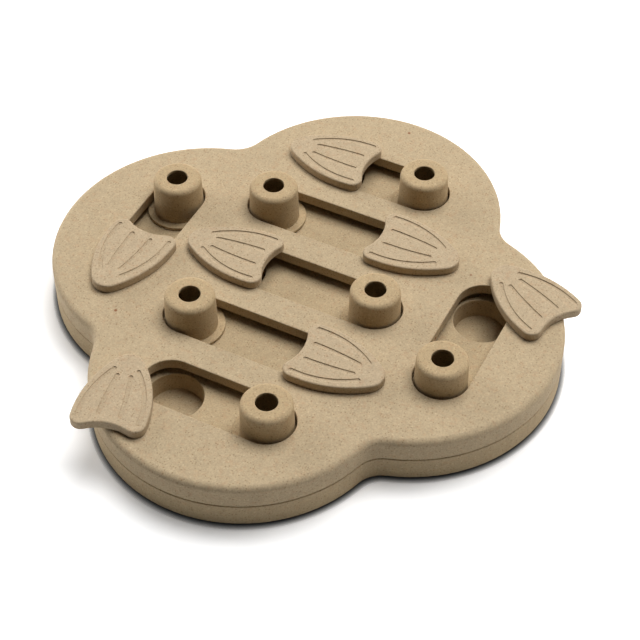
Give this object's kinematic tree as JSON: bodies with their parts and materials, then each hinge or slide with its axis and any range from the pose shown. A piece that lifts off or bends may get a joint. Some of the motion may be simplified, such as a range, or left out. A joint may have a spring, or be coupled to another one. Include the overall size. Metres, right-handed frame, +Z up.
{
  "type": "dog puzzle feeder",
  "caption": "Four-lobed slow-feeder board for dogs: hollow pegs slide along sunken tracks over treat wells, and flat fish-tail flippers swivel to uncover the far ends.",
  "frame": {"origin": "on the ground, under the middle of the board (bottom face of the rubber feet)", "axes": "+Z up; +X to the right lobe, along the three long tracks; +Y to the back lobe; the front lobe points along -Y"},
  "size_m": [0.3088, 0.3132, 0.0465],
  "materials": {
    "composite_shell": "matte speckled wood-fibre composite",
    "composite_peg": "matte speckled wood-fibre composite",
    "composite_flipper": "matte speckled wood-fibre composite",
    "screw_steel": "zinc-plated, satin",
    "washer_steel": "plain, satin",
    "foot_rubber": "matte"
  },
  "bodies": {
    "board": {"top_shell": "composite_shell", "bottom_shell": "composite_shell", "case_screws": "screw_steel", "rubber_feet": "foot_rubber"},
    "peg_a": {"peg_a": "composite_peg"},
    "flipper_a": {"flipper_a": "composite_flipper", "flipper_washer_a": "washer_steel", "flipper_screw_a": "screw_steel"},
    "peg_b": {"peg_b": "composite_peg"},
    "flipper_b": {"flipper_b": "composite_flipper", "flipper_washer_b": "washer_steel", "flipper_screw_b": "screw_steel"},
    "peg_c": {"peg_c": "composite_peg"},
    "flipper_c": {"flipper_c": "composite_flipper", "flipper_washer_c": "washer_steel", "flipper_screw_c": "screw_steel"},
    "peg_d": {"peg_d": "composite_peg"},
    "flipper_d": {"flipper_d": "composite_flipper", "flipper_washer_d": "washer_steel", "flipper_screw_d": "screw_steel"},
    "peg_e": {"peg_e": "composite_peg"},
    "flipper_e": {"flipper_e": "composite_flipper", "flipper_washer_e": "washer_steel", "flipper_screw_e": "screw_steel"},
    "peg_f": {"peg_f": "composite_peg"},
    "flipper_f": {"flipper_f": "composite_flipper", "flipper_washer_f": "washer_steel", "flipper_screw_f": "screw_steel"},
    "peg_g": {"peg_g": "composite_peg"},
    "flipper_g": {"flipper_g": "composite_flipper", "flipper_washer_g": "washer_steel", "flipper_screw_g": "screw_steel"}
  },
  "joints": [
    {"name": "peg_slide_a", "type": "slide", "parent": "board", "child": "peg_a", "axis": [0, -1, 0], "range_m": [0, 0.024]},
    {"name": "flipper_swivel_a", "type": "hinge", "parent": "board", "child": "flipper_a", "pos_m": [-0.1, -0.0545, 0.0278], "axis": [0, 0, 1], "range_deg": [-30, 90]},
    {"name": "peg_slide_b", "type": "slide", "parent": "board", "child": "peg_b", "axis": [1, 0, 0], "range_m": [0, 0.0485]},
    {"name": "flipper_swivel_b", "type": "hinge", "parent": "board", "child": "flipper_b", "pos_m": [0.07, 0.05, 0.0278], "axis": [0, 0, 1], "range_deg": [-19, 19]},
    {"name": "peg_slide_c", "type": "slide", "parent": "board", "child": "peg_c", "axis": [-1, 0, 0], "range_m": [0, 0.024]},
    {"name": "flipper_swivel_c", "type": "hinge", "parent": "board", "child": "flipper_c", "pos_m": [-0.0545, 0.1, 0.0278], "axis": [0, 0, 1], "range_deg": [-30, 90]},
    {"name": "peg_slide_d", "type": "slide", "parent": "board", "child": "peg_d", "axis": [-1, 0, 0], "range_m": [0, 0.0485]},
    {"name": "flipper_swivel_d", "type": "hinge", "parent": "board", "child": "flipper_d", "pos_m": [-0.07, 0, 0.0278], "axis": [0, 0, -1], "range_deg": [-16, 20]},
    {"name": "peg_slide_e", "type": "slide", "parent": "board", "child": "peg_e", "axis": [1, 0, 0], "range_m": [0, 0.0485]},
    {"name": "flipper_swivel_e", "type": "hinge", "parent": "board", "child": "flipper_e", "pos_m": [0.07, -0.05, 0.0278], "axis": [0, 0, 1], "range_deg": [-20, 16]},
    {"name": "peg_slide_f", "type": "slide", "parent": "board", "child": "peg_f", "axis": [-1, 0, 0], "range_m": [0, 0.05]},
    {"name": "flipper_swivel_f", "type": "hinge", "parent": "board", "child": "flipper_f", "pos_m": [-0.0545, -0.1, 0.0278], "axis": [0, 0, -1], "range_deg": [-75.1, 40]},
    {"name": "peg_slide_g", "type": "slide", "parent": "board", "child": "peg_g", "axis": [0, 1, 0], "range_m": [0, 0.044]},
    {"name": "flipper_swivel_g", "type": "hinge", "parent": "board", "child": "flipper_g", "pos_m": [0.1, 0.0545, 0.0278], "axis": [0, 0, 1], "range_deg": [-63, 40]}
  ]
}
